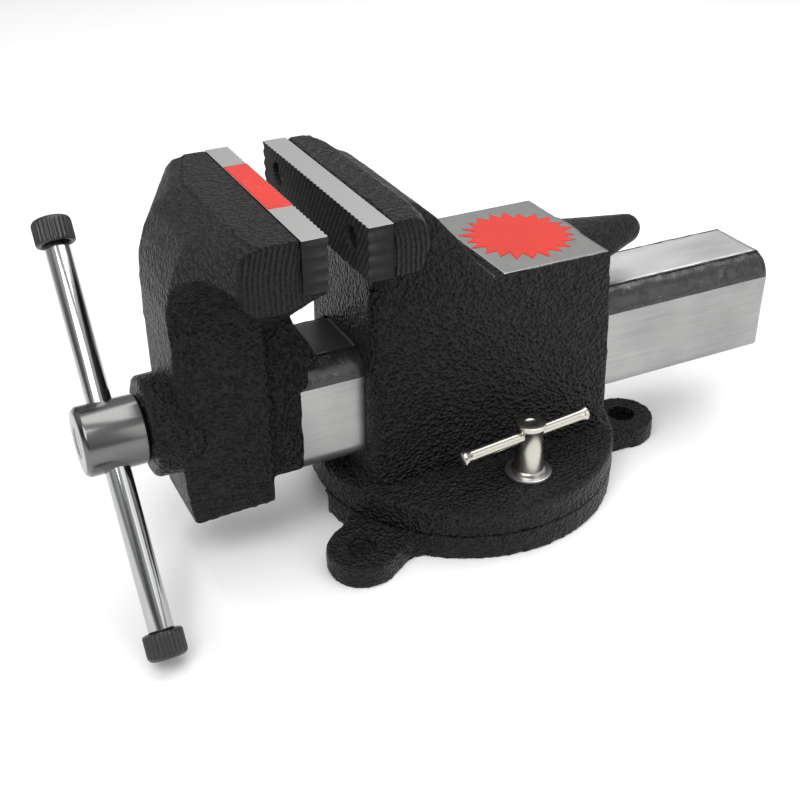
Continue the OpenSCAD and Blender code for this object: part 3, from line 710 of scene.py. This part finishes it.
def spindle():
    """The hub with its cross hole, and the screw with a real helical thread."""
    c = 2.2 * MM
    profile = [(0.02 * MM, HUB_END + 0.5 * MM), (9 * MM, HUB_END + 0.5 * MM), (9.6 * MM, HUB_END),
               (HUB_R - c, HUB_END), (HUB_R - 0.4 * MM, HUB_END + c * 0.8),
               (HUB_R, HUB_END + c * 1.2), (HUB_R, BOSS_Y - 2 * MM),
               (HUB_R - 1 * MM, BOSS_Y - 0.3 * MM), (12 * MM, BOSS_Y - 0.3 * MM),
               (12 * MM, CHANNEL_START + 14 * MM), (0.02 * MM, CHANNEL_START + 14 * MM)]
    profile = rounded(profile, 0.4 * MM)
    hub = lathe(profile, 96, (0, 1, 0), (0, 0, SPINDLE_Z))
    hub = drilled(hub, HANDLE_R + 0.06 * MM, HANDLE_AXIS, (0, HANDLE_Y, SPINDLE_Z), 80 * MM)
    piece("spindle_hub", shade(hub, 32), HUB_STEEL, "chrome", "spindle", "spindle")
    thread()


def thread():
    """A 6 mm right-hand trapezoidal thread, as one continuous helical strip."""
    lead = 6 * MM
    root, top = 10.6 * MM, 12.95 * MM
    start, end = CHANNEL_START + 12 * MM, SPINDLE_HI[1]
    steps = 40
    section = [(0.0, root), (0.12, root), (0.34, top), (0.66, top), (0.88, root)]
    turns = int((end - start - lead) / lead)
    bm = bmesh.new()
    last = None
    for i in range(turns * steps + 1):
        angle = 2 * math.pi * i / steps
        ring = []
        for share, radius in section + [(1.0, root)]:
            y = start + lead * (i / steps + share)
            grow = min(1.0, i / steps, turns - i / steps)
            r = root + (radius - root) * grow
            ring.append(bm.verts.new((r * math.sin(angle), y, SPINDLE_Z + r * math.cos(angle))))
        if last:
            for k in range(len(ring) - 1):
                bm.faces.new((last[k], last[k + 1], ring[k + 1], ring[k]))
        last = ring
    mesh = closed(bm, "thread")
    core = lathe([(0.02 * MM, start - 2 * MM), (root + 0.3 * MM, start - 2 * MM),
                  (root + 0.3 * MM, start + lead), (root + 0.02 * MM, start + lead),
                  (root + 0.02 * MM, end - 4 * MM), (root - 1.2 * MM, end - 0.4 * MM),
                  (0.02 * MM, end - 0.4 * MM)], 48, (0, 1, 0), (0, 0, SPINDLE_Z))
    piece("spindle_thread", shade(mesh, 30), BLACK_STEEL, "dark_steel", "spindle")
    piece("spindle_core", shade(core, 30), BLACK_STEEL, "dark_steel", "spindle")


def handle():
    """The sliding bar and its two ribbed caps."""
    low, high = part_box("handle_bar")
    middle = Vector((0, HANDLE_Y, SPINDLE_Z))
    half = (Vector(high) - Vector(low)).z / 2 / HANDLE_AXIS.z - 6 * MM
    bar = lathe(rounded([(0.02 * MM, -half), (HANDLE_R, -half), (HANDLE_R, half),
                         (0.02 * MM, half)], 0.8 * MM), 64, HANDLE_AXIS, middle)
    piece("handle_rod", shade(bar, 40), CHROME, "chrome", "handle", "handle_bar")
    cap_r, cap_len, reach = 11.85 * MM, 16 * MM, 132.5 * MM
    outline = [(HANDLE_R + 0.1 * MM, 3.4), (HANDLE_R + 0.9 * MM, 1.2), (HANDLE_R + 1.6 * MM, 0.3),
               (cap_r - 1.6 * MM, 0.0), (cap_r - 0.5 * MM, 0.5), (cap_r, 1.6), (cap_r, 2.6)]
    outline += [(cap_r, 2.6 + k) for k in range(1, 10)]
    outline += [(cap_r, 12.6), (cap_r - 0.35 * MM, 14.0), (cap_r - 1.2 * MM, 15.2),
                (cap_r - 2.6 * MM, 15.85), (4 * MM, 16.0), (3.4 * MM, 15.6), (0.02 * MM, 15.5)]
    for name, sign in (("handle_cap_upper", 1), ("handle_cap_lower", -1)):
        profile = [(r, reach - cap_len + h * MM) for r, h in outline]
        cap = lathe(profile, 208, HANDLE_AXIS * sign, middle,
                    (26, 0.7 * MM, reach - cap_len + 1.2 * MM, reach - 2.4 * MM, 8.6 * MM))
        piece(name + "_ribbed", shade(cap, 50), CAP, "cap", "handle", name)


# ---------------------------------------------------------------- swivel locks

def swivel_lock(side):
    """Washer, nut and tee bar of one swivel lock; the nut is a turned shape."""
    word = "right" if side > 0 else "left"
    x, y, _ = JOINTS["lock_turn_" + word]["pos_m"]
    slide = Vector(JOINTS["lock_bar_slide_" + word]["axis"])
    z0, z1 = NUT_LO[2], NUT_HI[2]
    foot = (NUT_HI[0] - NUT_LO[0]) / 2
    low, high = WASHER_LO[2], WASHER_HI[2]
    ring = [(6.3, low), (6.3, high), (14.5, high), (14.85, high - 0.15 * MM), (15, high - 0.5 * MM),
            (15, low + 0.2 * MM), (14.8, low), (6.3, low)]
    washer = lathe([(r * MM, z) for r, z in ring], 80, (0, 0, 1), (x, y, 0))
    piece("lock_washer_%s_turned" % word, shade(washer), ZINC, "zinc", "rear_body",
          "lock_washer_" + word)
    profile = [(6.1 * MM, z0), (foot - 0.5 * MM, z0), (foot, z0 + 0.5 * MM),
               (foot, z0 + 1.8 * MM), (foot - 1.0 * MM, z0 + 2.6 * MM),
               (foot - 1.5 * MM, z0 + 6 * MM), (foot - 2.0 * MM, z0 + 11 * MM),
               (foot - 2.5 * MM, z0 + 17 * MM), (foot - 2.7 * MM, z0 + 20 * MM),
               (foot - 2.7 * MM, z1 - 4.4 * MM), (foot - 2.2 * MM, z1 - 3.6 * MM),
               (foot - 1.6 * MM, z1 - 2.8 * MM), (foot - 1.6 * MM, z1 - 0.9 * MM),
               (foot - 1.8 * MM, z1 - 0.3 * MM), (foot - 2.3 * MM, z1 - 0.02 * MM),
               (4.2 * MM, z1 - 0.02 * MM), (3.6 * MM, z1 - 0.5 * MM), (1.6 * MM, z1 - 0.8 * MM),
               (0.02 * MM, z1 - 0.9 * MM), (0.02 * MM, z1 - 6 * MM), (6.1 * MM, z1 - 6 * MM),
               (6.1 * MM, z0)]
    nut = lathe(profile, 96, (0, 0, 1), (x, y, 0))
    bar_z = z1 - 8.5 * MM
    nut = drilled(nut, 3.98 * MM, slide, (x, y, bar_z), 50 * MM)
    piece("lock_nut_%s_turned" % word, shade(nut, 32), NICKEL, "nickel", "lock_nut_" + word,
          "lock_nut_" + word)
    low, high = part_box("lock_bar_" + word)
    middle = (Vector(low) + Vector(high)) / 2
    middle.z = bar_z
    half = 48.8 * MM
    ends = [(0.02, 0.25), (3.6, 0.1), (4.5, 0.5), (4.98, 1.3), (4.98, 2.4), (4.5, 3.4), (4.0, 5.0),
            (3.88, 7.0)]
    shape = [(r * MM, -half + h * MM) for r, h in ends]
    shape += [(r * MM, half - h * MM) for r, h in reversed(ends)]
    bar = lathe(shape, 48, slide, middle)
    piece("lock_bar_%s_turned" % word, shade(bar, 30), NICKEL, "nickel", "lock_bar_" + word,
          "lock_bar_" + word)


# ---------------------------------------------------------------- labels

def film(name, outline, low, high, body, node):
    """A thin printed film with a soft edge."""
    bm = bmesh.new()
    bottom = [bm.verts.new((x, y, low)) for x, y in outline]
    shrink = 0.12 * MM
    top = []
    middle = Vector((sum(x for x, _ in outline), sum(y for _, y in outline))) / len(outline)
    for x, y in outline:
        pull = (middle - Vector((x, y))).normalized() * shrink
        top.append(bm.verts.new((x + pull.x, y + pull.y, high)))
    for i in range(len(outline)):
        j = (i + 1) % len(outline)
        bm.faces.new((bottom[i], bottom[j], top[j], top[i]))
    bm.faces.new(top)
    piece(name, closed(bm, name), RED, "label", body, node)


def labels():
    """The uneven star on the anvil and the strip on the front jaw, both without text."""
    centre = ((STAR_LO[0] + STAR_HI[0]) / 2, (STAR_LO[1] + STAR_HI[1]) / 2)
    star = []
    for i in range(2 * STAR_POINTS):
        sway = noise.noise(Vector((i * 0.7, 2.0, 0)))
        if i % 2 == 0:
            r = STAR_OUTER - abs(sway) * 7 * MM
        else:
            r = STAR_INNER + sway * 3 * MM
        angle = math.pi * (i + sway * 0.5) / STAR_POINTS
        star.append((centre[0] + r * math.cos(angle), centre[1] + r * math.sin(angle)))
    film("anvil_star", star, STAR_LO[2], STAR_HI[2], "rear_body", "anvil_label")
    x0, y0, x1, y1 = STRIP_LO[0], STRIP_LO[1], STRIP_HI[0], STRIP_HI[1]
    strip = [(x0, y0), (x1, y0), (x1, y1), (x0, y1)]
    film("jaw_strip", strip, STRIP_LO[2], STRIP_HI[2], "front_jaw", "jaw_label")


# ---------------------------------------------------------------- stage, light and camera

# How far the bench top reaches each way, in metres
STAGE_REACH = 40.0


def stage():
    """A pale bench top; in front of the base it steps down to clear the hanging handle."""
    bm = bmesh.new()
    edge, step, run, steps = -190 * MM, 19.5 * MM, 30 * MM, 12
    line = [(STAGE_REACH, 0.0)]
    line += [(edge - run * k / steps, -step * (0.5 - 0.5 * math.cos(math.pi * k / steps)))
             for k in range(steps + 1)]
    line.append((-STAGE_REACH, -step))
    rows = [[bm.verts.new((x, y, z)) for y, z in line] for x in (-STAGE_REACH, STAGE_REACH)]
    for k in range(len(line) - 1):
        bm.faces.new((rows[0][k], rows[0][k + 1], rows[1][k + 1], rows[1][k]))
    mesh = closed(bm, "bench_top")
    mesh.materials.append(floor_material())
    mesh.polygons.foreach_set("use_smooth", [True] * len(mesh.polygons))
    obj = bpy.data.objects.new("bench_top", mesh)
    bpy.context.scene.collection.objects.link(obj)


# Name, place, size and power of each area lamp; all of them aim at LAMP_AIM
LAMPS = (("key", (0.9, -0.9, 1.6), 1.2, 21),
         ("fill", (1.6, 0.9, 0.9), 1.4, 8),
         ("top", (-0.3, 0.4, 1.9), 1.6, 24))
LAMP_AIM = Vector((0, 0, 0.1))


def light(name, place, size, power):
    """An area lamp that looks at the vise."""
    lamp = bpy.data.lights.new(name, "AREA")
    lamp.energy = power
    lamp.size = size
    obj = bpy.data.objects.new(name, lamp)
    bpy.context.scene.collection.objects.link(obj)
    obj.location = place
    aim = LAMP_AIM - Vector(place)
    obj.rotation_euler = aim.to_track_quat("-Z", "Y").to_euler()


# Dark flags in the sky, so that polished metal shows soft dark streaks: their number
# round the object, and how far they are turned
FLAGS = 5
FLAG_TURN = 0.6
SKY_STOPS = ((0.14, 0.45), (0.3, 0.8))
SKY_STRENGTH = 0.7


def studio():
    """A pale sky with dark flags between its horizon and its zenith, and three lamps."""
    world = bpy.data.worlds.new("studio")
    bpy.context.scene.world = world
    world.use_nodes = True
    g = Graph(world.node_tree, "Generated")
    ramp = g.add("ShaderNodeValToRGB", Fac=g.z)
    stops = ramp.color_ramp.elements
    for stop, position, value in ((stops[0], 0.0, 0.85), (stops[1], 0.75, 1.0)):
        stop.position = position
        stop.color = grey(value)
    for position, value in SKY_STOPS:
        stops.new(position).color = grey(value)
    round_sky = g.math("MULTIPLY", g.math("ARCTAN2", g.y, g.x), FLAGS)
    wave = g.math("SINE", g.math("ADD", round_sky, FLAG_TURN))
    flags = g.span(wave, -0.5, 0.3, 0.3, 1.0)
    clear = g.math("MAXIMUM", g.span(g.z, 0.14, 0.07), g.span(g.z, 0.35, 0.7))
    sky = g.mix(1.0, ramp.outputs["Color"], g.math("MAXIMUM", flags, clear), "MULTIPLY")
    back = g.tree.nodes["Background"]
    g.feed(back.inputs["Color"], sky)
    g.feed(back.inputs["Strength"], SKY_STRENGTH)
    for lamp in LAMPS:
        light(*lamp)


# Camera: turned round the vise, raised above it and aimed past its middle
TURN = math.radians(63.785)
RISE = math.radians(31.184)
ROLL = math.radians(-0.304)
AIM = Vector((0, 0, 100 * MM))
ASIDE = 40.98 * MM
ABOVE = 39.28 * MM
AWAY = 774.77 * MM
SENSOR = 36
FOCAL = 53.559


def camera():
    """The camera that sees the vise from the photograph's side."""
    back = Vector((math.sin(TURN) * math.cos(RISE), -math.cos(TURN) * math.cos(RISE),
                   math.sin(RISE)))
    right = Vector((math.cos(TURN), math.sin(TURN), 0))
    up = back.cross(right)
    turn = Matrix((right, up, back)).transposed().to_4x4()
    roll = Matrix.Rotation(ROLL, 4, "Z")
    data = bpy.data.cameras.new("camera")
    data.lens = FOCAL
    data.sensor_width = SENSOR
    data.clip_end = 50
    obj = bpy.data.objects.new("camera", data)
    bpy.context.scene.collection.objects.link(obj)
    view = turn @ roll
    place = AIM - right * ASIDE - up * ABOVE + back * AWAY
    obj.matrix_world = Matrix.Translation(place) @ view
    bpy.context.scene.camera = obj


def dress_nodes():
    """CAD nodes that stay as they are get their finishes."""
    plain = {
        BLACK_STEEL: ("pivot_bolt", "pivot_nut", "rear_jaw_screws", "front_jaw_screws",
                      "spindle_nut", "nut_bolts", "spindle_collar"),
        ZINC: ("pivot_washer", "thrust_washer", "collar_pin", "lock_bolt_right",
               "lock_bolt_left")}
    for material, names in plain.items():
        for name in names:
            mesh = NODES[name].data
            mesh.materials.clear()
            mesh.materials.append(material)


castings()
slide_bar()
jaw_plate("rear_jaw_plate_detail", PLATE_LO, PLATE_HI, -1, "rear_body")
jaw_plate("front_jaw_plate_detail", FRONT_LO, FRONT_HI, 1, "front_jaw")
spindle()
handle()
swivel_lock(1)
swivel_lock(-1)
labels()
dress_nodes()
stage()
studio()
camera()
bpy.context.scene.view_settings.view_transform = "Standard"
